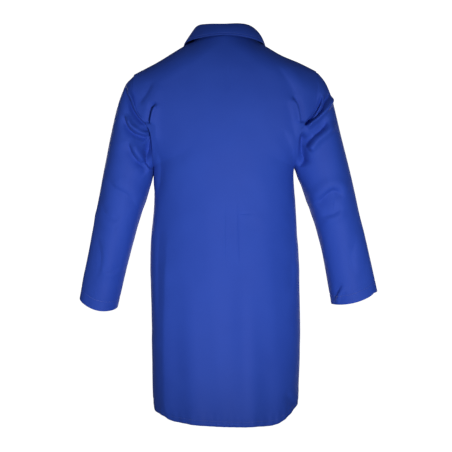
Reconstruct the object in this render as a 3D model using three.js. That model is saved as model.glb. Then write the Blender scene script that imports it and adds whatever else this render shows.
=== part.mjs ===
import * as THREE from "three";

// A knee-length, long-sleeved lab coat in the shape it has when worn.
// Millimetres. +Z is up, the front faces -Y, the wearer's left is +X. The origin is where the
// neck and shoulders carry the coat.

// Cloth and gaps
const clothThick = 2.0;
const liningThick = 1.5;
const seamGap = 0.5;
const seamHalf = 1.0;
const roundness = 2.3;

// Heights
const shoulderTipX = 235;
const shoulderTipZ = -95;
const neckSideX = 82;
const neckSideZ = -18;
const napeZ = -4;
const armpitZ = -345;
const breakZ = -352;
const hemSideZ = -962;
const hemBackZ = -981;
const hemFrontZ = -966;

// Front opening: the left front lies over the right one
const overlapHalf = 22;
const underDepth = 8.8;
const snapHeights = [-376, -511, -646, -781];
const snapRadius = 7.5;

// Pockets: side spread as a share of the quarter turn, then heights
const pocketDepth = 14;
const chestPocket = { from: 0.22, to: 0.66, top: -370, bottom: -494 };
const sidePocket = { from: 0.16, to: 0.67, top: -560, bottom: -745 };
const hemWidth = 24;
const cuffHemWidth = 26;

const royalBlue = 0x2c46a8;
const deepBlue = 0x263d94;
const group = new THREE.Group();

function add(name, geometry, colour = royalBlue, roughness = 0.75, metalness = 0) {
  const mesh = new THREE.Mesh(
    geometry,
    new THREE.MeshStandardMaterial({ color: colour, roughness, metalness }),
  );
  mesh.name = name;
  group.add(mesh);
  return mesh;
}

// A smooth curve of one number through a few stations [at, value], in rising order of at.
function through(stations) {
  const last = stations.length - 1;
  const slopeAt = (i) => {
    const a = stations[Math.max(i - 1, 0)];
    const b = stations[Math.min(i + 1, last)];
    return (b[1] - a[1]) / (b[0] - a[0]);
  };
  return (at) => {
    if (at <= stations[0][0]) return stations[0][1];
    if (at >= stations[last][0]) return stations[last][1];
    let i = 0;
    while (at > stations[i + 1][0]) i += 1;
    const [a0, v0] = stations[i];
    const [a1, v1] = stations[i + 1];
    const wide = a1 - a0;
    const t = (at - a0) / wide;
    const t2 = t * t;
    const t3 = t2 * t;
    return (
      v0 * (2 * t3 - 3 * t2 + 1) +
      v1 * (3 * t2 - 2 * t3) +
      wide * slopeAt(i) * (t3 - 2 * t2 + t) +
      wide * slopeAt(i + 1) * (t3 - t2)
    );
  };
}

const mix = (a, b, t) => a + (b - a) * t;
const clamp = (v, low, high) => Math.min(high, Math.max(low, v));
const ease = (t) => {
  const c = clamp(t, 0, 1);
  return c * c * (3 - 2 * c);
};
const quarter = Math.PI / 2;

// Half width at the side seams, from hem to armpit, then the armhole edge up to the shoulder tip
const sideX = through([
  [-1000, 181],
  [-949, 184],
  [-819, 189],
  [-689, 191],
  [-559, 189],
  [-429, 183],
  [-366, 181],
  [armpitZ, 182],
  [-300, 183],
  [-262, 187],
  [-234, 202],
  [-205, 222],
  [-180, 231],
  [-140, 234],
  [shoulderTipZ, shoulderTipX],
]);
// Half width the body would have without an armhole
const bodyX = (z) =>
  z <= armpitZ
    ? sideX(z)
    : through([
        [armpitZ, 182],
        [-320, 197],
        [-298, 209],
        [-250, 237],
        [-180, 260],
        [shoulderTipZ, 274],
        [0, 274],
      ])(z);
const backDepth = through([
  [-1000, 150],
  [-800, 137],
  [-650, 124],
  [-500, 111],
  [-400, 108],
  [-300, 109],
  [-200, 105],
  [-120, 96],
  [-60, 83],
  [0, 62],
]);
const frontDepth = through([
  [-1000, 145],
  [-700, 131],
  [-500, 119],
  [-400, 116],
  [-300, 115],
  [-200, 107],
  [-120, 91],
  [-60, 72],
  [-18, 44],
]);
const shoulderSlope = (neckSideZ - shoulderTipZ) / (shoulderTipX - neckSideX);
const ridgeZ = (x) => {
  const out = Math.abs(x) - neckSideX;
  return neckSideZ - out * (out > 0 ? shoulderSlope : 0.8);
};
const shoulderRound = (below) => {
  const t = clamp(below / 80, 0, 1);
  return Math.sqrt(1 - (1 - t) * (1 - t));
};
const bulge = (share) => (1 - clamp(Math.abs(share), 0, 1) ** roundness) ** (1 / roundness);

// Back: u runs from the wearer's right side seam to the left one, v from hem to shoulder
function backSurface(u, row) {
  const v = row < 0 ? row : 1 - (1 - row) ** 1.5;
  const turn = Math.sin((2 * u - 1) * quarter);
  const hem = mix(hemBackZ, hemSideZ, turn * turn);
  const sideZ = mix(hemSideZ, shoulderTipZ, v);
  const topX = Math.abs(turn) * shoulderTipX;
  const inNeck = clamp(topX / neckSideX, 0, 1);
  const top = topX > neckSideX ? ridgeZ(topX) : mix(napeZ, neckSideZ, inNeck * inNeck);
  const x = turn * sideX(sideZ);
  const z = mix(hem, top, v);
  const share = (turn * sideX(sideZ)) / bodyX(sideZ);
  const lift = shoulderRound(ridgeZ(x) - z);
  return new THREE.Vector3(x, seamHalf + backDepth(z) * bulge(share) * lift, z);
}

// Any point of the front, for a side (+1 left, -1 right), a signed x and a height
function frontPoint(side, x, z, under = 0) {
  const lift = shoulderRound(ridgeZ(x) - z);
  const depth = frontDepth(z) * bulge(x / bodyX(z)) * lift;
  const tuck = under * ease((side * x * -1 + 98) / 52);
  return new THREE.Vector3(x, -seamHalf - depth + tuck, z);
}

// The swinging part of a front ends at this share of the quarter turn, next to its hinge line
const swingEdge = 0.68;
const stripEdge = 0.73;

// Lower front: u runs from the opening edge to the side seam, v from hem to the lapel break
function lowerFront(side, from = null, to = swingEdge, hemLift = 0, topZ = breakZ - 2) {
  return (u, v) => {
    const hemHere = hemLift + mix(hemFrontZ, hemSideZ, u * to);
    const z = mix(hemHere, topZ, v);
    const start = from === null ? Math.asin(-overlapHalf / sideX(z)) / quarter : from;
    const x = side * sideX(z) * Math.sin(mix(start, to, u) * quarter);
    return frontPoint(side, x, z, side < 0 ? underDepth : 0);
  };
}

// Chest: u runs from the lapel roll line to the armhole, v from the break to the shoulder seam
function chest(side) {
  return (u, v) => {
    const rollZ = mix(breakZ, neckSideZ, v);
    const rollX = mix(2, neckSideX, v);
    const armZ = mix(breakZ, shoulderTipZ, v);
    const share = Math.sin(u * quarter);
    const x = mix(rollX, sideX(armZ), share);
    return frontPoint(side, side * x, mix(rollZ, armZ, share));
  };
}

// Lapel: u from the roll line out to the free edge, v from the break to the gorge
function lapel(side) {
  return (u, v) => {
    const rollZ = mix(breakZ + 5, -78, v);
    const rollX = mix(4, 66, v);
    const edgeX = rollX + mix(13, 84, v ** 0.8);
    const edgeZ = mix(breakZ + 5, -126, v);
    const point = frontPoint(side, side * mix(rollX, edgeX, u), mix(rollZ, edgeZ, u));
    return point.add(new THREE.Vector3(side * 0.5, -2.6 - 5 * Math.sin(u * Math.PI) * 0.6, 0));
  };
}

// A sheet of cloth as one closed body: the surface pushed out by `out`, `thick` deep.
// A tube joins u = 1 back to u = 0.
function sheet(surface, columns, rows, thick, out, inside, isTube = false) {
  const small = 0.003;
  const at = (u, v) => surface(isTube ? (u + 1) % 1 : clamp(u, 0, 1), clamp(v, 0, 1));
  const across = (u, v) => {
    const du = at(u + small, v).sub(at(u - small, v));
    const dv = at(u, v + small).sub(at(u, v - small));
    return du.cross(dv).normalize();
  };
  const facing = across(0.5, 0.5).dot(at(0.5, 0.5).sub(inside)) > 0 ? 1 : -1;
  const points = [];
  const wide = isTube ? columns : columns + 1;
  for (const depth of [out, out - thick])
    for (let j = 0; j <= rows; j += 1)
      for (let i = 0; i < wide; i += 1) {
        const [u, v] = [i / columns, j / rows];
        points.push(at(u, v).add(across(u, v).multiplyScalar(facing * depth)));
      }
  const layer = wide * (rows + 1);
  const index = [];
  const quad = (a, b, c, d) => index.push(a, b, c, a, c, d);
  const key = (i, j, k) => k * layer + j * wide + (i % wide);
  for (let j = 0; j < rows; j += 1)
    for (let i = 0; i < columns; i += 1) {
      quad(key(i, j, 0), key(i + 1, j, 0), key(i + 1, j + 1, 0), key(i, j + 1, 0));
      quad(key(i, j, 1), key(i, j + 1, 1), key(i + 1, j + 1, 1), key(i + 1, j, 1));
    }
  for (let i = 0; i < columns; i += 1) {
    quad(key(i + 1, 0, 0), key(i, 0, 0), key(i, 0, 1), key(i + 1, 0, 1));
    quad(key(i, rows, 0), key(i + 1, rows, 0), key(i + 1, rows, 1), key(i, rows, 1));
  }
  if (!isTube)
    for (let j = 0; j < rows; j += 1) {
      quad(key(0, j, 0), key(0, j + 1, 0), key(0, j + 1, 1), key(0, j, 1));
      quad(key(columns, j + 1, 0), key(columns, j, 0), key(columns, j, 1), key(columns, j + 1, 1));
    }
  if (facing < 0)
    for (let i = 0; i < index.length; i += 3) [index[i], index[i + 1]] = [index[i + 1], index[i]];
  const made = new THREE.BufferGeometry();
  made.setAttribute(
    "position",
    new THREE.Float32BufferAttribute(points.flatMap((p) => p.toArray()), 3),
  );
  made.setIndex(index);
  return made;
}

const bodyMiddle = new THREE.Vector3(0, 0, -420);
const sides = [
  ["left", 1],
  ["right", -1],
];

// Back of the coat, its inner neck facing and turned-up hem
add("back_panel", sheet(backSurface, 24, 18, clothThick, 0, bodyMiddle));
const inner = -clothThick - seamGap;
const neckFacing = (u, v) => backSurface(mix(9 / 24, 15 / 24, u), mix(15 / 18, 17 / 18, v));
add("back_neck_facing", sheet(neckFacing, 6, 2, liningThick, inner, bodyMiddle), deepBlue);
const hemRow = (hemWidth / (shoulderTipZ - hemSideZ)) * 0.66;
const backHem = (u, v) => backSurface(mix(1 / 24, 23 / 24, u), mix(0.001, hemRow, v));
add("back_hem", sheet(backHem, 22, 1, liningThick, inner - 0.2, bodyMiddle), deepBlue);

// Fronts: the chest stays with the shoulders, the lower part swings about the side seam
for (const [name, side] of sides) {
  add(`chest_${name}`, sheet(chest(side), 10, 10, clothThick, 0, bodyMiddle));
  add(`lapel_${name}`, sheet(lapel(side), 4, 7, 1.8, 3.4, bodyMiddle));
  add(`front_${name}`, sheet(lowerFront(side), 12, 11, clothThick, 0, bodyMiddle));
  const strip = lowerFront(side, stripEdge, 1, 0);
  add(`front_side_${name}`, sheet(strip, 5, 11, clothThick, 0, bodyMiddle));
  const start = -(overlapHalf - 1) / 190 / quarter;
  const facing = lowerFront(side, start, 0.24, 2, breakZ - 3);
  add(`facing_${name}`, sheet(facing, 4, 10, liningThick, inner, bodyMiddle), deepBlue);
  const hem = lowerFront(side, 0.26, 0.66, 1);
  const hemOnly = (u, v) => hem(u, (v * hemWidth) / (breakZ - hemFrontZ));
  add(`front_hem_${name}`, sheet(hemOnly, 8, 1, liningThick, inner - 0.3, bodyMiddle), deepBlue);
}

// Patch pockets: the sheet stands off the front and comes down to it at the sides and bottom
function patch(side, shape) {
  const surface = (u, v) => {
    const z = mix(shape.bottom, shape.top, v);
    const x = side * sideX(z) * Math.sin(mix(shape.from, shape.to, u) * quarter);
    return frontPoint(side, x, z, side < 0 ? underDepth : 0);
  };
  const width = surface(0, 0.5).distanceTo(surface(1, 0.5));
  const height = shape.top - shape.bottom;
  const rise = 9;
  const bend = (t, length) => {
    const cut = rise / length;
    return t < 0.25 ? t * 4 * cut : cut + ((t - 0.25) / 0.75) * (1 - cut);
  };
  return (u, v) => {
    const across = u < 0.5 ? bend(2 * u, width / 2) / 2 : 1 - bend(2 - 2 * u, width / 2) / 2;
    const up = bend(v, height);
    const edge = Math.min(across * width, (1 - across) * width, up * height);
    const lift = seamGap + 1.6 + (pocketDepth - 2) * clamp(edge / rise, 0, 1);
    const here = surface(across, up);
    const du = surface(across + 0.01, up).sub(surface(across - 0.01, up));
    const dv = surface(across, up + 0.01).sub(surface(across, up - 0.01));
    const normal = du.cross(dv).normalize();
    if (normal.y > 0) normal.negate();
    return here.add(normal.multiplyScalar(lift));
  };
}
const pocketSheet = (side, shape) => sheet(patch(side, shape), 16, 8, 1.6, 0, bodyMiddle);
add("chest_pocket", pocketSheet(1, chestPocket));
add("pocket_left", pocketSheet(1, sidePocket));
add("pocket_right", pocketSheet(-1, sidePocket));

// Snap fasteners down the opening: cap and socket on the left front, stud and post on the right
function turned(name, profile, y, z, colour) {
  const made = new THREE.LatheGeometry(
    profile.map(([r, h]) => new THREE.Vector2(r, h)),
    14,
  );
  const mesh = add(name, made, colour, 0.35, 0.9);
  mesh.rotation.x = Math.PI;
  mesh.position.set(0, y, z);
}
const steel = 0xb9bcc2;
snapHeights.forEach((z, i) => {
  const skin = -seamHalf - frontDepth(z);
  const number = i + 1;
  const inSocket = skin + clothThick + seamGap + liningThick + 0.7;
  const onRight = skin + underDepth - 0.8;
  const behind = skin + underDepth + clothThick + seamGap + liningThick + 0.8;
  const dome = [
    [0, 0],
    [snapRadius, 0],
    [snapRadius, 0.6],
    [snapRadius * 0.8, 1.4],
    [snapRadius * 0.4, 1.8],
    [0, 1.9],
  ];
  turned(`snap_cap_${number}`, dome, skin - 0.8, z, steel);
  const ring = [
    [2.4, -0.5],
    [6, -0.5],
    [6, 0.5],
    [2.4, 0.5],
    [2.4, -0.5],
  ];
  turned(`snap_socket_${number}`, ring, inSocket + 0.5, z, steel);
  const stud = [
    [0, 0],
    [6, 0],
    [6, 0.6],
    [1.9, 0.7],
    [1.7, 1.3],
    [0, 1.3],
  ];
  turned(`snap_stud_${number}`, stud, onRight, z, steel);
  const post = [
    [0, -0.5],
    [5, -0.5],
    [5, 0.5],
    [0, 0.5],
  ];
  turned(`snap_post_${number}`, post, behind + 0.5, z, steel);
});

// Collar: a stand on the neckline and a leaf turned down over it, open at the front
function bothWays(half) {
  const right = half
    .slice(1)
    .map(([x, y, z]) => new THREE.Vector3(-x, y, z))
    .reverse();
  const left = half.map(([x, y, z]) => new THREE.Vector3(x, y, z));
  return new THREE.CatmullRomCurve3([...right, ...left], false, "centripetal");
}
const rollLine = bothWays([
  [0, 51, 17],
  [40, 44, 18.5],
  [69, 18, 20],
  [76, -12, 12],
  [72, -42, -14],
  [62, -70, -52],
]);
const leafEdge = bothWays([
  [0, 79, -20],
  [56, 71, -23],
  [100, 42, -26],
  [117, 2, -29],
  [116, -44, -50],
  [104, -93, -104],
]);
const standFoot = bothWays([
  [0, 52, -3],
  [40, 43, -7],
  [70, 15, -12],
  [73, -14, -20],
  [66, -44, -48],
  [57, -68, -70],
]);
const leaf = (u, v) => {
  const point = rollLine.getPoint(u).lerp(leafEdge.getPoint(u), v);
  const arch = Math.sin(v * Math.PI) * 5;
  const out = new THREE.Vector3(point.x, point.y, 0).normalize();
  return point.addScaledVector(out, arch).add(new THREE.Vector3(0, 0, arch * 0.6));
};
add("collar_leaf", sheet(leaf, 28, 4, 1.8, 3.6, new THREE.Vector3(0, 0, -90)));
const stand = (u, v) => standFoot.getPoint(u).lerp(rollLine.getPoint(u), v);
add("collar_stand", sheet(stand, 24, 2, 1.6, 0.4, new THREE.Vector3(0, 0, 0)), deepBlue);

// Sleeves: each starts on its armhole and fans down to a plain hemmed end
const sleeveLines = {
  left: {
    outer: [
      [0, 235, -95],
      [0.1, 254, -128],
      [0.2, 276, -180],
      [0.35, 299, -268],
      [0.5, 317, -362],
      [0.7, 341, -487],
      [0.85, 359, -583],
      [1, 378, -684],
    ],
    inner: [
      [0, 182, -345],
      [0.1, 185, -357],
      [0.2, 190, -377],
      [0.35, 202, -413],
      [0.5, 217, -462],
      [0.7, 242, -548],
      [0.85, 261, -622],
      [1, 283, -710],
    ],
  },
  right: {
    outer: [
      [0, 235, -95],
      [0.1, 257, -128],
      [0.2, 280, -180],
      [0.35, 304, -268],
      [0.5, 327, -362],
      [0.7, 354, -480],
      [0.85, 375, -572],
      [1, 395, -668],
    ],
    inner: [
      [0, 182, -345],
      [0.1, 186, -357],
      [0.2, 193, -377],
      [0.35, 207, -413],
      [0.5, 224, -462],
      [0.7, 249, -548],
      [0.85, 264, -616],
      [1, 280, -697],
    ],
  },
};
const armholeGap = 4;
const sleeveDepth = through([
  [0, 66],
  [0.3, 66],
  [0.6, 58],
  [1, 52],
]);
const sleeveForward = through([
  [0, 0],
  [0.3, -2],
  [0.6, -8],
  [1, -34],
]);
const armholeMiddle = (shoulderTipZ + armpitZ) / 2;
const armholeHalf = (shoulderTipZ - armpitZ) / 2;

function sleeve(side, lines) {
  const pick = (rows, k) => through(rows.map((row) => [row[0], row[k]]));
  const [outX, outZ] = [pick(lines.outer, 1), pick(lines.outer, 2)];
  const [inX, inZ] = [pick(lines.inner, 1), pick(lines.inner, 2)];
  const oval = (angle, t) => {
    const [s, c] = [Math.sin(angle), Math.cos(angle)];
    const x = mix(inX(t), outX(t), 0.5 + 0.5 * s) + armholeGap;
    const z = mix(inZ(t), outZ(t), 0.5 + 0.5 * s);
    return new THREE.Vector3(x, c * sleeveDepth(t) + sleeveForward(t), z);
  };
  const armhole = (angle) => {
    const z = armholeMiddle + armholeHalf * Math.sin(angle);
    const x = sideX(z);
    const share = bulge(x / bodyX(z)) * shoulderRound(ridgeZ(x) - z);
    const isBack = Math.cos(angle) > 0;
    const y = isBack ? backDepth(z) * share : -frontDepth(z) * share;
    return new THREE.Vector3(x + armholeGap, y, z);
  };
  return (u, v) => {
    const angle = u * 2 * Math.PI;
    const fade = clamp(1 - v / 0.4, 0, 1) ** 2;
    const shift = armhole(angle).sub(oval(angle, 0)).multiplyScalar(fade);
    const point = oval(angle, v).add(shift);
    point.x *= side;
    return point;
  };
}
for (const [name, side] of sides) {
  const tube = sleeve(side, sleeveLines[name]);
  const heart = new THREE.Vector3(side * 265, 0, -420);
  add(`sleeve_${name}`, sheet(tube, 22, 15, clothThick, 0, heart, true));
  const hemRows = cuffHemWidth / 590;
  const turnUp = (u, v) => tube(u, mix(1 - hemRows, 0.998, v));
  add(`sleeve_hem_${name}`, sheet(turnUp, 22, 1, liningThick, inner, heart, true), deepBlue);
}

// Hanging loop inside the neck, the blank neck label under it and the blank care label
const loopY = 46.5;
const loopZ = -9;
const loopPath = new THREE.CatmullRomCurve3(
  [
    [-27, 0, 1],
    [-25, 0.2, -13],
    [-14, 0.4, -25],
    [0, 0.4, -29],
    [14, 0.4, -25],
    [25, 0.2, -13],
    [27, 0, 1],
  ].map(([x, y, z]) => new THREE.Vector3(x, loopY + y, loopZ + z)),
);
const round = new THREE.Shape();
round.absarc(0, 0, 1.6, 0, Math.PI * 2, false);
const loop = new THREE.ExtrudeGeometry(round, {
  steps: 18,
  curveSegments: 4,
  extrudePath: loopPath,
  bevelEnabled: false,
});
add("hanging_loop", loop, deepBlue);
const neckLabel = add("neck_label", new THREE.BoxGeometry(46, 0.8, 20), 0xe9e9e4, 0.8);
neckLabel.position.set(0, 71, -46);
neckLabel.rotation.x = 0.31;
const careLabel = add("care_label", new THREE.BoxGeometry(0.8, 26, 44), 0xe9e9e4, 0.8);
careLabel.position.set(184, -16, -660);

export default group;
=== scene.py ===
import math
import bpy
import numpy as np
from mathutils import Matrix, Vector


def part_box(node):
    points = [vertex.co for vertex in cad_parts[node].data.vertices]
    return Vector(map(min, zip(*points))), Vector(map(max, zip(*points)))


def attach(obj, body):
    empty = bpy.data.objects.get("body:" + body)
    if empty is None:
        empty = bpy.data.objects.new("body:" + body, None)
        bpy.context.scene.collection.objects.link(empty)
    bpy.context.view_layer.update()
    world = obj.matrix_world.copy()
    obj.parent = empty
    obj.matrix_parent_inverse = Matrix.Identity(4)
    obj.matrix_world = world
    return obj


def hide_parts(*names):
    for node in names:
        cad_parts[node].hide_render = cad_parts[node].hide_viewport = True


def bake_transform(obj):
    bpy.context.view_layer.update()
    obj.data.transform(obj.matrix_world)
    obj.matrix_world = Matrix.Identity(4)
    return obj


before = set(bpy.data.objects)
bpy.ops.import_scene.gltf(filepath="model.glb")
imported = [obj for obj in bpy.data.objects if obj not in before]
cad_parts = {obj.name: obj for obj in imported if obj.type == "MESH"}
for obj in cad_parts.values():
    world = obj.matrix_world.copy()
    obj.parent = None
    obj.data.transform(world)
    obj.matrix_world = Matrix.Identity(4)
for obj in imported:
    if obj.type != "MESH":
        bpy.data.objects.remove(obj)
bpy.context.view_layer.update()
scene = bpy.context.scene
quarter = math.pi / 2


def through(*stations):
    # a smooth curve of one number through a few stations (at, value)
    xs, vs = np.array(stations, float).T
    before = np.r_[0, np.arange(len(xs) - 1)]
    after = np.r_[np.arange(1, len(xs)), len(xs) - 1]
    slopes = (vs[after] - vs[before]) / (xs[after] - xs[before])

    def curve(at):
        at = np.clip(np.asarray(at, float), xs[0], xs[-1])
        i = np.clip(np.searchsorted(xs, at) - 1, 0, len(xs) - 2)
        wide = xs[i + 1] - xs[i]
        t = (at - xs[i]) / wide
        return (vs[i] * (2 * t**3 - 3 * t**2 + 1) + vs[i + 1] * (3 * t**2 - 2 * t**3)
                + wide * slopes[i] * (t**3 - 2 * t**2 + t) + wide * slopes[i + 1] * (t**3 - t**2))
    return curve


def mix(a, b, t):
    return a + (b - a) * t


def ease(t):
    t = np.clip(t, 0, 1)
    return t * t * (3 - 2 * t)


def stack(x, y, z):
    return np.stack(np.broadcast_arrays(x, y, z), -1).astype(float)


def lineThrough(points, at):
    # a smooth line in space through a few points, at shares 0..1 of their number
    points = np.array(points, float)
    steps = np.linspace(0, 1, len(points))
    return np.stack([through(*zip(steps, points[:, k]))(at) for k in range(3)], -1)


def lengthsAlong(line):
    return np.r_[0, np.cumsum(np.linalg.norm(np.diff(line, axis=0), axis=1))]


def resample(line, count):
    # the same line as evenly spaced points
    reach = lengthsAlong(line)
    at = np.linspace(0, reach[-1], count)
    return np.stack([np.interp(at, reach, line[:, k]) for k in range(3)], -1)


def normalsOf(grid, inside, closed=False):
    # unit normals of a grid of points, all pointing away from the point inside
    if closed:
        du = np.roll(grid, -1, 1) - np.roll(grid, 1, 1)
    else:
        du = np.gradient(grid, axis=1)
    dv = np.gradient(grid, axis=0)
    n = np.cross(du, dv)
    n /= np.maximum(np.linalg.norm(n, axis=-1, keepdims=True), 1e-12)
    middle = (grid.shape[0] // 2, grid.shape[1] // 2)
    away = np.dot(n[middle], grid[middle] - np.array(inside))
    return n if away > 0 else -n


def betweenCorners(table, i, j, s, t):
    # the value inside the cell at column i and row j, at shares s and t of it
    return ((table[j, i] * (1 - s) + table[j, i + 1] * s) * (1 - t)
            + (table[j + 1, i] * (1 - s) + table[j + 1, i + 1] * s) * t)


def sample(grid, u, v):
    # the point of a grid at shares u across and v up
    rows, columns = grid.shape[:2]
    a = np.clip(np.asarray(u, float), 0, 1) * (columns - 1)
    b = np.clip(np.asarray(v, float), 0, 1) * (rows - 1)
    i = np.clip(a.astype(int), 0, columns - 2)
    j = np.clip(b.astype(int), 0, rows - 2)
    return betweenCorners(grid, i, j, (a - i)[..., None], (b - j)[..., None])


def softNoise(u, v, seed, cells):
    # smooth random heights from -1 to 1 over u and v in 0..1
    table = np.random.default_rng(seed).uniform(-1, 1, (cells[1] + 2, cells[0] + 2))
    a, b = np.clip(u, 0, 1) * cells[0], np.clip(v, 0, 1) * cells[1]
    i = np.clip(np.floor(a).astype(int), 0, cells[0] - 1)
    j = np.clip(np.floor(b).astype(int), 0, cells[1] - 1)
    return betweenCorners(table, i, j, ease(a - i), ease(b - j))


def crease(x, z, path, width, depth, ridge=0.0, side=1, fade=(0.3, 0.3)):
    # height of one fold: a valley along path, with a swell on one side of it
    best = np.full(x.shape, 1e9)
    offset = np.zeros(x.shape)
    along = np.zeros(x.shape)
    path = lineThrough([(a, 0, b) for a, b in path], np.linspace(0, 1, 6 * len(path)))[:, ::2]
    lengths = lengthsAlong(path)
    for k in range(len(path) - 1):
        a, b = path[k], path[k + 1]
        d = b - a
        reach = np.hypot(*d)
        t = np.clip(((x - a[0]) * d[0] + (z - a[1]) * d[1]) / reach**2, 0, 1)
        gap = np.hypot(x - a[0] - t * d[0], z - a[1] - t * d[1])
        sign = np.sign((x - a[0]) * d[1] - (z - a[1]) * d[0])
        closer = gap < best
        best = np.where(closer, gap, best)
        offset = np.where(closer, gap * sign * side, offset)
        along = np.where(closer, (lengths[k] + t * reach) / lengths[-1], along)
    taper = ease(along / max(fade[0], 1e-3)) * ease((1 - along) / max(fade[1], 1e-3))
    # steep under the lip of the fold, long and soft on its other side
    reach = np.where(offset > 0, 0.50 * width, 1.7 * width)
    valley = -depth * np.exp(-(np.abs(offset) / reach) ** 1.5)
    swell = ridge * np.exp(-((offset - 1.7 * width) / (1.3 * width)) ** 2)
    return (valley + swell) * taper


class Wire:
    # wraps a socket so that maths on values reads as maths
    def __init__(self, tree, socket=None):
        self.tree, self.socket = tree, socket

    def put(self, kind, settings=None, inputs=None, out=0):
        node = self.tree.nodes.new(kind)
        for name, value in (settings or {}).items():
            setattr(node, name, value)
        for name, value in (inputs or {}).items():
            if isinstance(value, Wire):
                self.tree.links.new(value.socket, node.inputs[name])
            else:
                node.inputs[name].default_value = value
        return Wire(self.tree, node.outputs[out])

    def maths(self, operation, *terms):
        return self.put("ShaderNodeMath", {"operation": operation}, dict(enumerate(terms)))

    def __add__(self, other):
        return self.maths("ADD", self, other)

    def __sub__(self, other):
        return self.maths("SUBTRACT", self, other)

    def __rsub__(self, other):
        return self.maths("SUBTRACT", other, self)

    def __mul__(self, other):
        return self.maths("MULTIPLY", self, other)

    __radd__ = __add__
    __rmul__ = __mul__

    def wave(self):
        return self.maths("SINE", self) * 0.5 + 0.5

    def between(self, low, high):
        return self.put("ShaderNodeMapRange", {"clamp": True},
                        {"Value": self, "From Min": low, "From Max": high})

    def tint(self, a, b):
        # colour a where this value is 0 and colour b where it is 1
        ends = {0: self, 6: a if isinstance(a, Wire) else (*a, 1), 7: b if isinstance(b, Wire) else (*b, 1)}
        return self.put("ShaderNodeMix", {"data_type": "RGBA"}, ends, out=2)

    def noise(self, scale, detail=3.0):
        return self.put("ShaderNodeTexNoise", inputs={"Vector": self, "Scale": scale, "Detail": detail})

    def bump(self, distance, strength):
        settings = {"Height": self, "Distance": distance, "Strength": strength}
        return self.put("ShaderNodeBump", inputs=settings)

    def parts(self):
        # the three numbers of a vector
        return [self.put("ShaderNodeSeparateXYZ", inputs={"Vector": self}, out=k) for k in range(3)]


def newMaterial(name, colour, roughness, metallic=0.0):
    material = bpy.data.materials.new(name)
    material.use_nodes = True
    tree = material.node_tree
    shader = next(n for n in tree.nodes if n.type == "BSDF_PRINCIPLED")
    shader.inputs["Base Color"].default_value = (*colour, 1)
    shader.inputs["Roughness"].default_value = roughness
    shader.inputs["Metallic"].default_value = metallic
    return material, shader, Wire(tree)


def join(shader, **wires):
    for name, wire in wires.items():
        socket = {"colour": "Base Color", "roughness": "Roughness", "normal": "Normal"}[name]
        wire.tree.links.new(wire.socket, shader.inputs[socket])


def attribute(wire, name, out):
    return wire.put("ShaderNodeAttribute", {"attribute_name": name}, out=out)


twill = {
    "colour": (0.0165, 0.057, 0.388),
    "worn": (0.026, 0.079, 0.470),
    "deep": (0.010, 0.036, 0.282),
    "roughness": 0.70,
    "ribsPerMetre": 900,
    "ribHeight": 0.00012,
    "sheen": 0.05,
    "sheenTint": (0.22, 0.38, 1.0, 1),
}


def makeTwill(name, shade=1.0):
    # diagonal ribs, crossed by finer weft, with dye and press variation over it
    colour, low, high = (tuple(c * shade for c in twill[key]) for key in ("colour", "deep", "worn"))
    material, shader, wire = newMaterial(name, colour, twill["roughness"])
    place = attribute(wire, "clothPlace", 1)
    across, along, _ = place.parts()
    turns = twill["ribsPerMetre"] * 2 * math.pi
    rib = (across * (turns * 0.62) + along * (turns * 0.78)).wave()
    weft = (along * (turns * 1.7)).wave()
    slub, cloud, fibre = place.noise(260.0), place.noise(9.0, 4.0), place.noise(1500.0, 2.0)
    lift = cloud.between(0.35, 0.75) * 0.35 + slub.between(0.3, 0.8) * 0.22
    dyed = lift.tint(colour, high)
    shaded = ((1 - rib) * 0.20 + (1 - fibre) * 0.12).tint(dyed, low)
    rough = cloud * 0.10 + slub * 0.10 + (twill["roughness"] - 0.10)
    height = rib * 0.6 + weft * 0.25 + slub * 0.9 + fibre * 0.3
    join(shader, colour=shaded, roughness=rough, normal=height.bump(twill["ribHeight"], 0.55))
    shader.inputs["Sheen Weight"].default_value = twill["sheen"]
    shader.inputs["Sheen Roughness"].default_value = 0.45
    shader.inputs["Sheen Tint"].default_value = twill["sheenTint"]
    shader.inputs["Specular IOR Level"].default_value = 0.22
    return material


def makeThread(name, colour):
    material, shader, wire = newMaterial(name, colour, 0.5)
    place = wire.put("ShaderNodeTexCoord", out=3)
    twist = place.noise(900.0, 2.0)
    join(shader, colour=twist.tint(colour, tuple(c * 0.6 for c in colour)), normal=twist.bump(0.0001, 0.4))
    shader.inputs["Sheen Weight"].default_value = 0.3
    return material


def makeLabel(name):
    material, shader, wire = newMaterial(name, (0.8, 0.8, 0.77), 0.5)
    place = attribute(wire, "clothPlace", 1)
    satin = (place.parts()[1] * 9000).wave()
    tone = (satin * 0.3 + place.noise(120.0) * 0.3).tint((0.84, 0.84, 0.81), (0.66, 0.66, 0.64))
    join(shader, colour=tone, normal=satin.bump(0.0001, 0.4))
    return material


def makeNickel(name):
    material, shader, wire = newMaterial(name, (0.62, 0.63, 0.65), 0.3, 1.0)
    place = wire.put("ShaderNodeTexCoord", out=3)
    haze, marks = place.noise(400.0, 4.0), place.noise(2500.0, 2.0)
    tone = (haze.between(0.3, 0.7) * 0.5).tint((0.66, 0.67, 0.69), (0.45, 0.46, 0.5))
    join(shader, colour=tone, roughness=haze * 0.2 + 0.2, normal=marks.bump(0.00005, 0.3))
    return material


clothMaterial = makeTwill("royalTwill")
insideMaterial = makeTwill("royalTwillInside", 0.9)
threadMaterial = makeThread("sewingThread", (0.035, 0.075, 0.36))
labelMaterial = makeLabel("blankSatinTape")
nickelMaterial = makeNickel("satinNickel")
print("materials made")


def link(name, mesh, material):
    mesh.polygons.foreach_set("use_smooth", np.ones(len(mesh.polygons), bool))
    mesh.materials.append(material)
    made = bpy.data.objects.new(name, mesh)
    scene.collection.objects.link(made)
    return made


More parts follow.
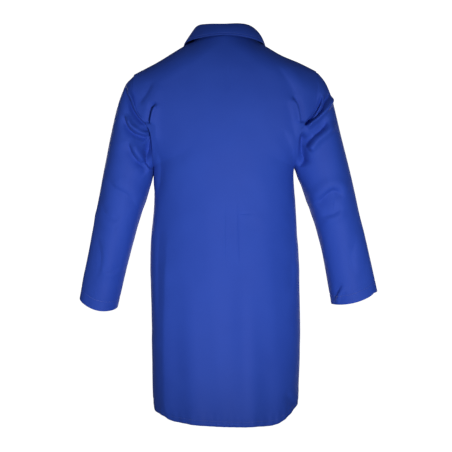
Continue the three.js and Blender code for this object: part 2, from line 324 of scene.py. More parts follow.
def clothObject(name, grid, inside, thickness=0.0008, material=None, closed=False):
    # a thin closed sheet: the grid is its outer face, and both faces meet at a turned edge
    normals = normalsOf(grid, inside, closed)
    rows, columns = grid.shape[:2]
    points = np.concatenate([grid.reshape(-1, 3), (grid - normals * thickness).reshape(-1, 3)])
    index = np.arange(rows * columns).reshape(rows, columns)
    if closed:
        index = np.concatenate([index, index[:, :1]], 1)
    a, b = index[:-1, :-1].ravel(), index[:-1, 1:].ravel()
    c, d = index[1:, 1:].ravel(), index[1:, :-1].ravel()
    far = rows * columns
    outside = np.stack([a, b, c, d], 1)
    quads = [outside, np.stack([a, d, c, b], 1) + far]

    def rim(line, flip):
        p, q = line[:-1], line[1:]
        wall = np.stack([q, p, p + far, q + far], 1)
        quads.append(wall[:, ::-1] if flip else wall)
    rim(index[0], False)
    rim(index[-1], True)
    if not closed:
        rim(index[:, 0], True)
        rim(index[:, -1], False)
    faces = np.concatenate(quads)
    first = outside[len(outside) // 2]
    flat = np.cross(points[first[1]] - points[first[0]], points[first[2]] - points[first[0]])
    if np.dot(flat, normals.reshape(-1, 3)[first[0]]) < 0:
        faces = faces[:, ::-1]
    mesh = bpy.data.meshes.new(name)
    mesh.from_pydata(points.tolist(), [], faces.tolist())
    across = np.concatenate([np.zeros((rows, 1)),
                             np.cumsum(np.linalg.norm(np.diff(grid, axis=1), axis=-1), 1)], 1)
    up = np.concatenate([np.zeros((1, columns)),
                         np.cumsum(np.linalg.norm(np.diff(grid, axis=0), axis=-1), 0)], 0)
    across = across - across.mean(1, keepdims=True)
    place = np.stack([across, up, np.zeros_like(up)], -1).reshape(-1, 3)
    place = np.concatenate([place, place + [0.013, 0.007, 0.004]])
    mesh.attributes.new("clothPlace", "FLOAT_VECTOR", "POINT").data.foreach_set(
        "vector", place.astype(np.float32).ravel())
    return link(name, mesh, material or clothMaterial)


lining = {"thickness": 0.0006, "gap": 0.0011}


def insideCloth(name, grid, inside, closed=False):
    # a hem or a facing, which shows the inside of the twill
    return clothObject(name, grid, inside, lining["thickness"], insideMaterial, closed)


def flatSize(grid, closed=False):
    # width, length and area of the cut cloth, measured on the shape before its folds
    loop = np.concatenate([grid, grid[:, :1]], 1) if closed else grid
    across, up = np.diff(loop, axis=1), np.diff(loop, axis=0)
    width = np.linalg.norm(across, axis=-1).sum(1).max()
    length = np.linalg.norm(up, axis=-1).sum(0).max()
    area = np.linalg.norm(np.cross(across[:-1], up[:, :-1]), axis=-1).sum()
    return {"flat": (round(float(width), 4), round(float(length), 4)),
            "area": round(float(min(area, width * length)), 5)}


def stitchObject(name, runs, pitch=0.0032, radius=0.00032):
    # rows of stitches: each one a small spindle of thread lying on the cloth
    blocks, faces = [], []
    pattern = [(0, 1, 2), (0, 2, 3), (0, 3, 4), (0, 4, 1), (1, 5, 6, 2), (2, 6, 7, 3),
               (3, 7, 8, 4), (4, 8, 5, 1), (9, 6, 5), (9, 7, 6), (9, 8, 7), (9, 5, 8)]
    for line, normals in runs:
        reach = lengthsAlong(line)
        count = int(reach[-1] / pitch)

        def at(table, where):
            return np.stack([np.interp((np.arange(count) + where) * pitch, reach, table[:, k])
                             for k in range(3)], 1)
        a, b, n = at(line, 0.12), at(line, 0.88), at(normals, 0.5)
        along = b - a
        side = np.cross(n, along)
        side /= np.maximum(np.linalg.norm(side, axis=1, keepdims=True), 1e-12)
        rows = [a + n * radius * 0.1]
        for t in (0.18, 0.82):
            centre = a + along * t + n * radius * 0.75
            rows += [centre + way * radius * 0.9 for way in (side, n, -side, -n)]
        rows.append(b + n * radius * 0.1)
        start = sum(len(block) for block in blocks)
        blocks.append(np.stack(rows, 1).reshape(-1, 3))
        faces += [tuple(start + k * len(rows) + i for i in f) for k in range(count) for f in pattern]
    mesh = bpy.data.meshes.new(name)
    mesh.from_pydata(np.concatenate(blocks).tolist(), [], faces)
    return link(name, mesh, threadMaterial)


def runOn(grid, inside, us, vs, closed=False):
    # a line over a grid at shares us, vs, with the cloth's normals along it
    us, vs = np.broadcast_arrays(us, vs)
    return sample(grid, us, vs), sample(normalsOf(grid, inside, closed), us, vs)


def latheObject(name, profile, at, axis, steps=36, hole=False):
    # a turned metal part: profile is (radius, height) pairs, closed at the middle or a ring
    axis = np.array(axis, float) / np.linalg.norm(axis)
    side = np.cross(axis, (0, 0, 1))
    side /= np.linalg.norm(side)
    other = np.cross(axis, side)
    points, faces = [], []
    for r, h in profile:
        for k in range(1 if r == 0 else steps):
            a = 2 * math.pi * k / steps
            points.append(at + axis * h + (side * math.cos(a) + other * math.sin(a)) * r)
    starts = np.cumsum([0] + [1 if r == 0 else steps for r, _ in profile])
    pairs = [(i, i + 1) for i in range(len(profile) - 1)]
    if hole:
        pairs.append((len(profile) - 1, 0))
    for i, j in pairs:
        for k in range(steps):
            m = (k + 1) % steps
            low = [starts[i]] if profile[i][0] == 0 else [starts[i] + k, starts[i] + m]
            high = [starts[j]] if profile[j][0] == 0 else [starts[j] + m, starts[j] + k]
            faces.append([int(f) for f in low + high])
    mesh = bpy.data.meshes.new(name)
    mesh.from_pydata([tuple(p) for p in points], [], faces)
    return link(name, mesh, nickelMaterial)


# the coat's cut, in metres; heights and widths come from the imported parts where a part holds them
cut = {
    "tipX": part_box("back_panel")[1].x,
    "tipZ": -0.095,
    "neckX": 0.082,
    "neckZ": -0.018,
    "napeZ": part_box("back_panel")[1].z,
    "armpitZ": -0.345,
    "hemFront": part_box("front_left")[0].z,
    "breakZ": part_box("chest_left")[0].z,
    "lap": 0.022,
    "tuck": 0.0056,
    "roundness": 2.3,
    "seamHalf": -0.0001,
    "hemReach": 0.184,
    "breakShare": 0.70,
    "leftFall": 0.0085,
    "rightDip": 0.0045,
}
sideX = through((-1.0, 0.181), (-0.949, 0.184), (-0.819, 0.189), (-0.689, 0.191), (-0.559, 0.189),
                (-0.429, 0.183), (-0.366, 0.181), (-0.345, 0.182), (-0.300, 0.183), (-0.262, 0.187),
                (-0.234, 0.202), (-0.205, 0.222), (-0.180, 0.231), (-0.140, 0.234), (-0.095, 0.235))
chestX = through((-0.345, 0.182), (-0.320, 0.197), (-0.298, 0.209), (-0.250, 0.237),
                 (-0.180, 0.260), (-0.095, 0.274), (0.05, 0.274))
backDepth = through((-1.0, 0.150), (-0.8, 0.137), (-0.65, 0.124), (-0.5, 0.111), (-0.4, 0.108),
                    (-0.3, 0.109), (-0.2, 0.105), (-0.12, 0.096), (-0.06, 0.083), (0, 0.062))
frontDepth = through((-1.0, 0.145), (-0.7, 0.131), (-0.5, 0.119), (-0.4, 0.116), (-0.3, 0.115),
                     (-0.2, 0.107), (-0.12, 0.091), (-0.06, 0.072), (-0.018, 0.044))
# how far the coat hangs to its left at each height, and its hem line from right to left
lean = through((-0.98, -0.004), (-0.949, -0.002), (-0.819, -0.002), (-0.689, -0.001),
               (-0.559, 0.002), (-0.429, 0.001), (-0.36, 0.003), (-0.30, 0.0), (0, 0.0))
hemLine = through((-0.186, -0.946), (-0.174, -0.954), (-0.161, -0.964), (-0.137, -0.978), (-0.112, -0.984),
                  (-0.070, -0.982), (0.013, -0.981), (0.094, -0.978), (0.137, -0.976), (0.157, -0.968),
                  (0.182, -0.964))
bodyMiddle = (0, 0, -0.42)


def settle(grid):
    # the shoulders of the hung coat: the left one falls a little more, the right one dips halfway
    x, z = grid[..., 0], grid[..., 2]
    onShoulder = ease((x - 0.09) / 0.10) * (1 - ease((x - 0.236) / 0.035))
    left = cut["leftFall"] * onShoulder * ease((z + 0.24) / 0.13)
    right = cut["rightDip"] * np.exp(-((x + 0.145) / 0.035) ** 2) * ease((z + 0.16) / 0.10)
    return grid - stack(0 * x, 0 * x, left + right)


def bodyX(z):
    return np.where(z <= cut["armpitZ"], sideX(z), chestX(z))


def ridgeZ(x):
    out = np.abs(x) - cut["neckX"]
    slope = (cut["neckZ"] - cut["tipZ"]) / (cut["tipX"] - cut["neckX"])
    return cut["neckZ"] - out * np.where(out > 0, slope, 0.8)


def shoulderRound(below):
    return np.sqrt(1 - (1 - np.clip(below / 0.080, 0, 1)) ** 2)


def bulge(share):
    return (1 - np.clip(np.abs(share), 0, 1) ** cut["roundness"]) ** (1 / cut["roundness"])


def bands(x, z, folds, top, bottom):
    # the long soft folds of hanging cloth, which fade out upwards
    grow = ease((top - z) / (top - bottom))
    return grow * sum(f["height"] * np.sin(2 * math.pi * (x + f["tilt"] * z) / f["wave"] + f["start"])
                      for f in folds)


def lay(grid, inside, heights, closed=False):
    # the grid with its cloth raised by these heights
    return grid + normalsOf(grid, inside, closed) * heights[..., None]


def backLines():
    # shares across and up, closer together where the iron left its marks
    near = np.array([-0.0042, -0.0028, -0.0014, 0, 0.0014, 0.0028, 0.0042])
    turns = np.concatenate([(x + near) / pressed["halfWidth"] for x in pressed["columns"]])
    across = np.union1d(np.linspace(0, 1, backPanel["columns"]), (np.arcsin(turns) / quarter + 1) / 2)
    up = 1 - (1 - np.linspace(0, 1, backPanel["rows"])) ** 1.5
    share = (pressed["row"] + near - hemLine(-0.06)) / (cut["napeZ"] - hemLine(-0.06))
    return across[None, :], np.union1d(up, share)[:, None]


def backGrid():
    u, v = backLines()
    turn = np.sin((2 * u - 1) * quarter)
    hem = hemLine(turn * cut["hemReach"])
    sideBottom = mix(hemLine(-cut["hemReach"]), hemLine(cut["hemReach"]), (turn + 1) / 2)
    sideZ = mix(sideBottom, cut["tipZ"], v)
    topX = np.abs(turn) * cut["tipX"]
    inNeck = np.clip(topX / cut["neckX"], 0, 1)
    top = np.where(topX > cut["neckX"], ridgeZ(topX), mix(cut["napeZ"], cut["neckZ"], inNeck**2))
    z = mix(hem, top, v)
    x = turn * sideX(sideZ)
    y = cut["seamHalf"] + backDepth(z) * bulge(x / bodyX(sideZ)) * shoulderRound(ridgeZ(x) - z)
    return settle(stack(x + lean(z), y, z))


def frontTuck(side, x, z):
    # how far the right front lies under the left one
    if side > 0:
        return 0 * x
    return cut["tuck"] * ease((0.098 + x) / 0.052) * ease((-0.215 - z) / 0.075)


def frontPoint(side, x, z):
    # the front of the coat at a distance x out from its middle, towards its own side
    y = -cut["seamHalf"] - frontDepth(z) * bulge(x / bodyX(z)) * shoulderRound(ridgeZ(x) - z)
    return settle(stack(side * x + lean(z), y + frontTuck(side, side * x, z), z))


def openingEdge(v):
    # the free edge of a front: straight up to the lapel break, then along the roll line
    breakShare = cut["breakShare"]
    upper = np.clip((v - breakShare) / (1 - breakShare), 0, 1)
    z = np.where(v < breakShare, mix(cut["hemFront"], cut["breakZ"], v / breakShare),
                 mix(cut["breakZ"], cut["neckZ"], upper))
    return mix(-cut["lap"], cut["neckX"], upper), z


def openingShare(height):
    # the share of a front's grid that this height takes up, below the lapel break
    return height / (cut["breakZ"] - cut["hemFront"]) * cut["breakShare"]


def frontGrid(side, columns, rows):
    u, v = np.linspace(0, 1, columns)[None, :], np.linspace(0, 1, rows)[:, None]
    sideZ = mix(hemLine(side * cut["hemReach"]), cut["tipZ"], v)
    edgeX, edgeZ = openingEdge(v)
    share = np.sin(u * quarter)
    return frontPoint(side, mix(edgeX, sideX(sideZ), share), mix(edgeZ, sideZ, share))


backPanel = {
    "columns": 170, "rows": 230,
    "folds": [{"wave": 0.123, "tilt": 0.05, "start": 0.6, "height": 0.0026},
              {"wave": 0.071, "tilt": -0.06, "start": 2.2, "height": 0.0012},
              {"wave": 0.190, "tilt": 0.16, "start": 1.1, "height": 0.0018}],
    "foldTop": -0.30, "foldBottom": -0.90,
    "hemWidth": 0.024, "facingRow": 206,
    # cloth pushed over the left armhole, then the pulls that run in from both armpits
    "creases": [
        ([(0.172, -0.186), (0.184, -0.208), (0.190, -0.240)], 0.0044, 0.0150, 0.0090, 1, (0.3, 0.05)),
        ([(0.160, -0.190), (0.172, -0.235), (0.170, -0.300)], 0.014, -0.0035, 0.0, 1),
        ([(0.172, -0.300), (0.164, -0.345), (0.170, -0.420)], 0.010, 0.0030, 0.0016, -1),
        ([(0.180, -0.130), (0.196, -0.160), (0.222, -0.196)], 0.013, 0.0036, 0.0030, 1),
        ([(-0.168, -0.168), (-0.184, -0.192), (-0.190, -0.216), (-0.192, -0.240)],
         0.0050, 0.0095, 0.0065, -1, (0.3, 0.1)),
        ([(-0.128, -0.092), (-0.162, -0.140), (-0.180, -0.185)], 0.013, 0.0036, 0.0022, 1),
        ([(-0.150, -0.180), (-0.168, -0.230), (-0.176, -0.290)], 0.010, 0.0022, 0.0026, 1),
        ([(-0.140, -0.250), (-0.166, -0.300), (-0.176, -0.350)], 0.009, 0.0016, 0.0020, 1),
        ([(-0.010, -0.078), (-0.011, -0.125), (-0.009, -0.172)], 0.0035, 0.0010, 0.0005, 1),
        ([(-0.165, -0.42), (-0.172, -0.55), (-0.168, -0.70)], 0.014, 0.0024, 0.0020, 1),
        ([(0.160, -0.44), (0.168, -0.60), (0.160, -0.76)], 0.015, 0.0024, 0.0018, -1),
        ([(0.142, -0.46), (0.147, -0.65), (0.145, -0.97)], 0.024, -0.0046, 0.0, -1, (0.35, 0.03)),
        ([(-0.150, -0.905), (-0.166, -0.93), (-0.176, -0.948)], 0.008, 0.0030, 0.0016, 1),
    ],
}
pressed = {"columns": (-0.034, -0.002), "row": -0.467, "depth": 0.0011, "halfWidth": 0.186}
frontPanels = {
    "columns": 104, "rows": 230,
    "folds": [{"wave": 0.117, "tilt": 0.07, "start": 0.3, "height": 0.0018},
              {"wave": 0.066, "tilt": -0.09, "start": 1.2, "height": 0.0009}],
    "foldTop": -0.36, "foldBottom": -0.92,
    "facingWidth": 0.30, "hemRows": (2, 10), "edgeStitch": 0.032,
    "creases": [
        ([(0.178, -0.345), (0.150, -0.315), (0.128, -0.255)], 0.011, 0.0030, 0.0022, 1),
        ([(0.175, -0.360), (0.140, -0.350), (0.100, -0.330)], 0.013, 0.0020, 0.0015, -1),
        ([(0.205, -0.120), (0.176, -0.165), (0.160, -0.220)], 0.015, 0.0022, 0.0018, 1),
    ],
}


def backHeights(grid):
    x, z = grid[..., 0], grid[..., 2]
    u, v = (share + 0 * x for share in backLines())
    high = bands(x, z, backPanel["folds"], backPanel["foldTop"], backPanel["foldBottom"])
    high += 0.0011 * softNoise(u, v, 11, (5, 9)) + 0.0006 * softNoise(u, v, 12, (14, 30))
    for fold in backPanel["creases"]:
        high += crease(x, z, *fold)
    # marks left by the iron: two upright lines joined at the foot, and one across
    turn = np.sin((2 * u - 1) * quarter) * pressed["halfWidth"]
    upright = ease((z + 0.590) / 0.02) * ease((-0.425 - z) / 0.05)
    for k, column in enumerate(pressed["columns"]):
        high -= pressed["depth"] * (1 - 0.4 * k) * np.exp(-((turn - column) / 0.0016) ** 2) * upright
    inLine = ease((turn + 0.094) / 0.012) * ease((-0.034 - turn) / 0.012)
    high -= pressed["depth"] * np.exp(-((z - pressed["row"]) / 0.0016) ** 2) * inLine
    seams = ease(np.minimum(u, 1 - u) / 0.012) * ease((1 - v) / 0.03)
    hem = 0.0006 * np.sin(x * 330 + 2 * np.sin(x * 41)) * ease((0.04 - v) / 0.03)
    pinch = 0.0008 * np.exp(-((v - 0.0245) / 0.004) ** 2)
    return high * seams + (hem - pinch) * seams


backShape = backGrid()
backPanel["cutTo"] = flatSize(backShape)
backCloth = lay(backShape, bodyMiddle, backHeights(backShape))


def frontHeights(side, grid):
    x, z = side * grid[..., 0], grid[..., 2]
    rows, columns = x.shape
    u, v = np.linspace(0, 1, columns)[None, :] + 0 * x, np.linspace(0, 1, rows)[:, None] + 0 * x
    seed = 20 + side
    high = bands(x, z, frontPanels["folds"], frontPanels["foldTop"], frontPanels["foldBottom"])
    high += 0.0010 * softNoise(u, v, seed, (4, 9)) + 0.0005 * softNoise(u, v, seed + 5, (9, 26))
    for fold in frontPanels["creases"]:
        high += crease(x, z, *fold)
    high += crease(x, z, [(0.168, -0.40), (0.174, -0.55), (0.166, -0.72)], 0.015, 0.0018, 0.0014, side)
    calm = ease(u / 0.14) if side > 0 else ease((u - 0.02) / 0.16)
    seams = ease((1 - u) / 0.035) * ease((1 - v) / 0.03)
    return high * seams * mix(0.25, 1, calm)


fronts = {}
for side, name in ((1, "Left"), (-1, "Right")):
    shape = frontGrid(side, frontPanels["columns"], frontPanels["rows"])
    fronts[side] = {"name": name, "body": name.lower() + "_front", "cutTo": flatSize(shape),
                    "cloth": lay(shape, bodyMiddle, frontHeights(side, shape))}
print("panels shaped")

bothSides = {"swing": ((0.060, 0, -0.050), (-0.039, 0, -0.0635)),
             "raise": ((0.2717, 0, -0.0983), (0.3243, 0, -0.1173))}


def bend(piece, side, kind="swing"):
    # bakes the piece's placement into its mesh; the hinge body and its two ends are worked out here but not
    # used
    body = ("left" if side > 0 else "right") + ("_front" if kind == "swing" else "_sleeve")
    start, end = (tuple(side * c if k == 0 else c for k, c in enumerate(p)) for p in bothSides[kind])
    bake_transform(piece)
    return piece


def under(grid, inside, columns, rows):
    # the part of a cloth between these grid lines, laid a little inside it
    part = grid - normalsOf(grid, inside) * lining["gap"]
    return part[rows[0]:rows[1], columns[0]:columns[1]]


back = clothObject("backPanel", backCloth, bodyMiddle)
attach(back, "coat_body")
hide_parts("back_panel")
acrossBack = backLines()[0][0]
middleColumn = int(np.searchsorted(acrossBack, 0.5))
middleHeights = backShape[:, middleColumn, 2]
hemRows = int(np.argmax(middleHeights > middleHeights[0] + backPanel["hemWidth"]))
backHemShape = under(backCloth, bodyMiddle, (2, -2), (0, hemRows))
backHem = insideCloth("backHem", backHemShape, bodyMiddle)
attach(backHem, "coat_body")
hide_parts("back_hem")
neckShare = math.asin(cut["neckX"] / cut["tipX"]) / math.pi
facingColumns = np.searchsorted(acrossBack, (0.5 - neckShare, 0.5 + neckShare))
facingRows = (backPanel["facingRow"], len(backCloth) - 2)
facingShape = under(backCloth, bodyMiddle, facingColumns, facingRows)
neckFacing = insideCloth("backNeckFacing", facingShape, bodyMiddle)
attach(neckFacing, "coat_body")
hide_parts("back_neck_facing")
hemRow = (hemRows - 2) / (len(backCloth) - 1)
hemRun = runOn(backCloth, bodyMiddle, np.linspace(0.005, 0.995, 400), hemRow)
backStitches = stitchObject("backHemStitches", [hemRun])
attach(backStitches, "coat_body")
print("back made")

# fronts: one cloth from hem to shoulder, with its facing, hem and edge stitching
for side, front in fronts.items():
    name, cloth = front["name"], front["cloth"]
    columns, rows = frontPanels["columns"], frontPanels["rows"]
    panel = bend(clothObject(f"front{name}", cloth, bodyMiddle), side)
    low = name.lower()
    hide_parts(f"front_{low}", f"chest_{low}", f"front_side_{low}")
    wide = int(frontPanels["facingWidth"] * columns)
    facingShape = under(cloth, bodyMiddle, (0, wide), (3, rows - 3))
    facing = bend(insideCloth(f"facing{name}", facingShape, bodyMiddle), side)
    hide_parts(f"facing_{low}")
    hemShape = under(cloth, bodyMiddle, (wide + 1, columns - 3), frontPanels["hemRows"])
    hem = bend(insideCloth(f"frontHem{name}", hemShape, bodyMiddle), side)
    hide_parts(f"front_hem_{low}")
    edge = runOn(cloth, bodyMiddle, frontPanels["edgeStitch"], np.linspace(0.004, 0.695, 700))
    hemTop = (frontPanels["hemRows"][1] - 1) / (rows - 1)
    bottom = runOn(cloth, bodyMiddle, np.linspace(0.03, 0.99, 300), hemTop)
    stitches = bend(stitchObject(f"front{name}Stitches", [edge, bottom]), side)
print("fronts made")

lapels = {"columns": 34, "rows": 110, "gorge": 0.822, "width": 0.084, "pointZ": -0.126,
          "roll": 0.0019, "swell": 0.0045, "rest": 0.0022, "belly": 0.004, "thickness": 0.0012,
          "sink": 0.0006, "turnShare": 0.18}


def lapelGrid(side):
    # turned outwards round the opening edge, then laid over the chest
    t = np.linspace(0.03, 1, lapels["rows"])[:, None]
    w = np.linspace(0, 1, lapels["columns"])[None, :]
    s = t * lapels["gorge"]
    rollX, rollZ = mix(-cut["lap"], cut["neckX"], s), mix(cut["breakZ"], cut["neckZ"], s)
    width = lapels["width"] * t**0.8 + lapels["belly"] * np.sin(math.pi * t)
    edgeX, edgeZ = rollX + width, mix(cut["breakZ"], lapels["pointZ"], t)
    turnShare = lapels["turnShare"]
    flat = np.clip((w - turnShare) / (1 - turnShare), 0, 1)
    x, z = mix(rollX, edgeX, flat), mix(rollZ, edgeZ, flat)
    # the corner of the lapel is a little rounded
    corner = ease((t - 0.965) / 0.035) * ease((flat - 0.93) / 0.07)
    x, z = x - 0.003 * corner, z - 0.0015 * corner
    chest = frontPoint(side, x, z)
    up = normalsOf(frontPoint(side, x + 0.0005 * w, z), bodyMiddle)
    out = stack(side * np.ones_like(x), 0 * x, 0 * x)
    radius = lapels["roll"] * ease(t / 0.15) + 0.0004
    turning = math.pi * np.clip(w / turnShare, 0, 1)
    fold = ease(t / 0.3)
    high = radius - lapels["sink"] - radius * np.cos(turning)
    high = high + np.where(flat > 0, lapels["swell"] * fold * np.sin(math.pi * flat**0.6), 0)
    high = high - (2 * radius - lapels["sink"] - lapels["rest"]) * ease(flat / 0.9)
    sweep = radius * np.sin(turning)
    return chest + up * high[..., None] - out * sweep[..., None]


for side, front in fronts.items():
    name = front["name"]
    shape = lapelGrid(side)
    lapel = bend(clothObject(f"lapel{name}", shape, bodyMiddle, lapels["thickness"]), side)
    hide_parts(f"lapel_{name.lower()}")
    outer = runOn(shape, bodyMiddle, np.linspace(0.945, 0.93, 500), np.linspace(0.03, 0.972, 500))
    gorge = runOn(shape, bodyMiddle, np.linspace(0.93, 0.45, 120), 0.972)
    stitches = bend(stitchObject(f"lapel{name}Stitches", [outer, gorge]), side)
print("lapels made")

pockets = {
    "chest_pocket": {"name": "chestPocket", "side": 1, "from": 0.23, "to": 0.65, "top": -0.372,
                     "bottom": -0.492, "gape": 0.0045},
    "pocket_left": {"name": "pocketLeft", "side": 1, "from": 0.17, "to": 0.66, "top": -0.562,
                    "bottom": -0.743, "gape": 0.0065},
    "pocket_right": {"name": "pocketRight", "side": -1, "from": 0.17, "to": 0.66, "top": -0.562,
                     "bottom": -0.743, "gape": 0.0065},
}
patch = {"columns": 64, "rows": 64, "corner": 0.020, "lift": 0.0011, "hem": 0.026, "thickness": 0.0010}


def pocketGrid(pocket):
    # a patch on the front: rounded bottom corners, a mouth that stands a little open
    side, cloth = pocket["side"], fronts[pocket["side"]]["cloth"]
    normals = normalsOf(cloth, bodyMiddle)
    a, b = np.linspace(0, 1, patch["columns"])[None, :], np.linspace(0, 1, patch["rows"])[:, None] ** 1.15
    z = mix(pocket["bottom"], pocket["top"], b)
    left, right = (sideX(z) * math.sin(pocket[k] * quarter) for k in ("from", "to"))
    rise = np.clip(1 - (z - pocket["bottom"]) / patch["corner"], 0, 1)
    inset = patch["corner"] * (1 - np.sqrt(np.clip(1 - rise**2, 0, 1)))
    x = mix(left + inset, right - inset, a)
    # find the same place on the front: its grid lines run from the opening edge to the side
    v = openingShare(z - cut["hemFront"])
    for _ in range(3):
        share = (x + cut["lap"]) / (sideX(z) + cut["lap"])
        u = np.arcsin(np.clip(share, 0, 1)) / quarter
        v = v + openingShare(z - sample(cloth, u, v)[..., 2])
    u, v = np.broadcast_arrays(u, v)
    inwards = np.minimum(a, 1 - a) * (right - left)
    edge = ease(np.minimum(inwards, z - pocket["bottom"]) / 0.016)
    gape = pocket["gape"] * (0.35 + 0.65 * b**2) * np.sin(math.pi * a) ** 0.8
    wrinkle = 0.0007 * softNoise(a + 0 * b, b + 0 * a, 31 + side, (4, 4))
    return sample(cloth, u, v) + sample(normals, u, v) * (patch["lift"] + edge * (gape + wrinkle))[..., None]


for node, pocket in pockets.items():
    shape = pocketGrid(pocket)
    piece = bend(clothObject(pocket["name"], shape, bodyMiddle, patch["thickness"]), pocket["side"])
    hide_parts(node)
    near = 0.04
    around = [(near, np.linspace(1, 0.14, 200)), (1 - near, np.linspace(1, 0.14, 200)),
              (np.linspace(0.14, 0.86, 160), 0.03)]
    runs = [runOn(shape, bodyMiddle, *run) for run in around]
    for height in (1 - patch["hem"] / (pocket["top"] - pocket["bottom"]), 0.975):
        runs.append(runOn(shape, bodyMiddle, np.linspace(0.03, 0.97, 200), height))
    stitches = bend(stitchObject(f"{pocket['name']}Stitches", runs), pocket["side"])
print("pockets made")

collar = {
    "columns": 150, "leafRows": 64, "standRows": 12, "stitchIn": 0.006, "stitchDip": 0.0006,
    "roll": [(0, 0.051, 0.0160), (0.040, 0.044, 0.0180), (0.070, 0.018, 0.0205), (0.076, -0.012, 0.012),
             (0.072, -0.042, -0.014), (0.062, -0.070, -0.052)],
    "edge": [(0, 0.079, -0.0205), (0.056, 0.071, -0.0245), (0.096, 0.042, -0.028), (0.107, 0.002, -0.031),
             (0.111, -0.044, -0.050), (0.104, -0.089, -0.104)],
    "rollRight": [(0, 0.051, 0.0170), (0.036, 0.045, 0.0185), (0.060, 0.020, 0.0195), (0.070, -0.012, 0.010),
                  (0.070, -0.042, -0.016), (0.062, -0.070, -0.052)],
    "edgeRight": [(0, 0.079, -0.0205), (0.056, 0.070, -0.0255), (0.092, 0.042, -0.030),
                  (0.104, 0.002, -0.032), (0.110, -0.044, -0.051), (0.104, -0.089, -0.104)],
    "arch": (0.0075, 0.0012), "thickness": 0.0015, "archedLength": 1.15,
}


def bothWays(key):
    # from the right end round the back to the left end
    return [(-x, y, z) for x, y, z in collar[f"{key}Right"][:0:-1]] + collar[key]


def neckline():
    # from the right roll line, over the shoulders and round the back, to the left one
    v = np.linspace(mix(cut["breakShare"], 1, lapels["gorge"]), 1, 60)
    left = sample(fronts[1]["cloth"], 0, v)
    right = sample(fronts[-1]["cloth"], 0, v)
    top = backCloth[-1]
    inNeck = np.abs(top[:, 0]) < cut["neckX"]
    return np.concatenate([right, top[inNeck], left[::-1]])


def collarGrids():
    u = np.linspace(0, 1, collar["columns"])
    roll, edge = lineThrough(bothWays("roll"), u), lineThrough(bothWays("edge"), u)
    foot = resample(neckline(), collar["columns"])
    heart = np.stack([foot[:, 0], foot[:, 1], 0 * foot[:, 0]], -1)
    heart /= np.linalg.norm(heart, axis=1, keepdims=True)
    foot = foot - heart * 0.0014 - [0, 0, 0.0035]
    v = np.linspace(0, 1, collar["leafRows"])[:, None, None]
    out = np.stack([roll[:, 0], roll[:, 1], 0 * u], -1)
    out /= np.linalg.norm(out, axis=1, keepdims=True)
    leftward = ease((u - 0.30) / 0.4)[None, :, None]
    arch = mix(collar["arch"][0], collar["arch"][1], leftward) * np.sin(math.pi * v) ** 0.75
    leaf = roll * (1 - v) + edge * v + out * arch + np.array([0, 0, 0.6]) * arch
    curl = np.clip(1 - v / 0.14, 0, 1)
    leaf = leaf + np.array([0, 0, 0.0016]) * (1 - curl**2) - out * 0.0010 * curl
    ripple = 0.0008 * softNoise(u[None, :] + 0 * v[..., 0], v[..., 0] + 0 * u[None, :], 41, (12, 2))
    leaf = leaf + out * (ripple * ease(v[..., 0] / 0.5))[..., None]
    w = np.linspace(0, 1, collar["standRows"])[:, None, None]
    bow = 0.0020 * np.sin(math.pi * w)
    stand = foot * (1 - w) + (roll - out * 0.0012) * w + out * bow
    return leaf, stand


leafShape, standShape = collarGrids()
neckHeart = (0, 0, -0.09)
nape = leafShape[:, collar["columns"] // 2]
leafDepth = np.linalg.norm(nape[-1] - nape[0])
stitchRow = 1 - collar["stitchIn"] / (leafDepth * collar["archedLength"])
down = np.linspace(0, 1, collar["leafRows"])[:, None] + 0 * leafShape[..., 0]
dip = collar["stitchDip"] * np.exp(-((down - stitchRow) / 0.022) ** 2)
leafShape = lay(leafShape, neckHeart, -dip)
leaf = clothObject("collarLeaf", leafShape, neckHeart, collar["thickness"])
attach(leaf, "coat_body")
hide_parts("collar_leaf")
stand = clothObject("collarStand", standShape, neckHeart, collar["thickness"], insideMaterial)
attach(stand, "coat_body")
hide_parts("collar_stand")
runs = [runOn(leafShape, neckHeart, np.linspace(0.025, 0.975, 500), stitchRow)]
runs += [runOn(leafShape, neckHeart, at, np.linspace(0.1, stitchRow, 60)) for at in (0.025, 0.975)]
collarStitches = stitchObject("collarStitches", runs)
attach(collarStitches, "coat_body")
print("collar made")

